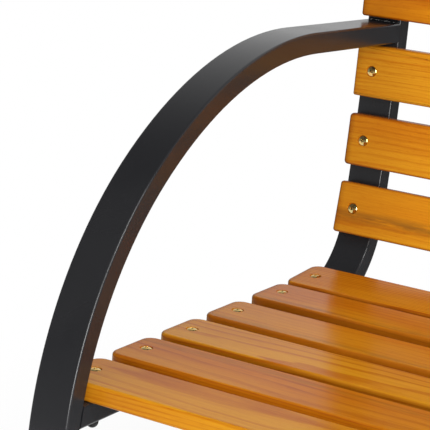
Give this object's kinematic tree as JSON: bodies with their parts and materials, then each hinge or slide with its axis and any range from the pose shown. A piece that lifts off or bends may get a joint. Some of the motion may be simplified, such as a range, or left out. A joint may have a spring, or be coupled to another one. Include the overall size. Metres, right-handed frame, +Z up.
{
  "type": "rocking bench",
  "caption": "Garden rocking bench with varnished wooden slats on bent steel tube side frames, each sweeping from arm rest into front leg and standing on a curved rocker.",
  "frame": {"origin": "on the floor, midway between the rockers and under the middle of their length", "axes": "+X to the right as seen from the front, along the slats; the seat faces -Y, so +Y points to the back; +Z up"},
  "size_m": [1.1696, 0.7756, 0.8364],
  "materials": {
    "powder_coat": "black powder coat, satin",
    "varnished_wood": "glossy honey-orange varnish over straight-grained softwood",
    "yellow_zinc": "yellow zinc plated steel",
    "black_plastic": "black moulded plastic, fine texture"
  },
  "bodies": {
    "root": {"arm_leg_left": "powder_coat", "arm_leg_right": "powder_coat", "seat_back_frame_left": "powder_coat", "seat_back_frame_right": "powder_coat", "rear_leg_left": "powder_coat", "rear_leg_right": "powder_coat", "rocker_left": "powder_coat", "rocker_right": "powder_coat", "upright_cap_left": "black_plastic", "upright_cap_right": "black_plastic", "rocker_cap_rear_left": "black_plastic", "rocker_cap_rear_right": "black_plastic", "rocker_cap_front_left": "black_plastic", "rocker_cap_front_right": "black_plastic", "cross_tube_seat_front": "powder_coat", "cross_tube_seat_rear": "powder_coat", "cross_tube_rear_leg": "powder_coat", "frame_bolt_seat_front_left": "powder_coat", "frame_bolt_seat_front_right": "powder_coat", "frame_bolt_seat_rear_left": "powder_coat", "frame_bolt_seat_rear_right": "powder_coat", "frame_bolt_rear_leg_left": "powder_coat", "frame_bolt_rear_leg_right": "powder_coat", "middle_support": "powder_coat", "seat_slat_1": "varnished_wood", "seat_slat_2": "varnished_wood", "seat_slat_3": "varnished_wood", "seat_slat_4": "varnished_wood", "seat_slat_5": "varnished_wood", "seat_slat_6": "varnished_wood", "back_slat_1": "varnished_wood", "back_slat_2": "varnished_wood", "back_slat_3": "varnished_wood", "back_slat_4": "varnished_wood", "back_slat_5": "varnished_wood", "back_slat_6": "varnished_wood", "seat_bolt_1_left": "yellow_zinc", "seat_bolt_1_right": "yellow_zinc", "seat_bolt_2_left": "yellow_zinc", "seat_bolt_2_right": "yellow_zinc", "seat_bolt_3_left": "yellow_zinc", "seat_bolt_3_right": "yellow_zinc", "seat_bolt_4_left": "yellow_zinc", "seat_bolt_4_right": "yellow_zinc", "seat_bolt_5_left": "yellow_zinc", "seat_bolt_5_right": "yellow_zinc", "seat_bolt_6_left": "yellow_zinc", "seat_bolt_6_right": "yellow_zinc", "back_bolt_1_left": "yellow_zinc", "back_bolt_1_right": "yellow_zinc", "back_bolt_2_left": "yellow_zinc", "back_bolt_2_right": "yellow_zinc", "back_bolt_3_left": "yellow_zinc", "back_bolt_3_right": "yellow_zinc", "back_bolt_4_left": "yellow_zinc", "back_bolt_4_right": "yellow_zinc", "back_bolt_5_left": "yellow_zinc", "back_bolt_5_right": "yellow_zinc", "back_bolt_6_left": "yellow_zinc", "back_bolt_6_right": "yellow_zinc"}
  },
  "joints": []
}
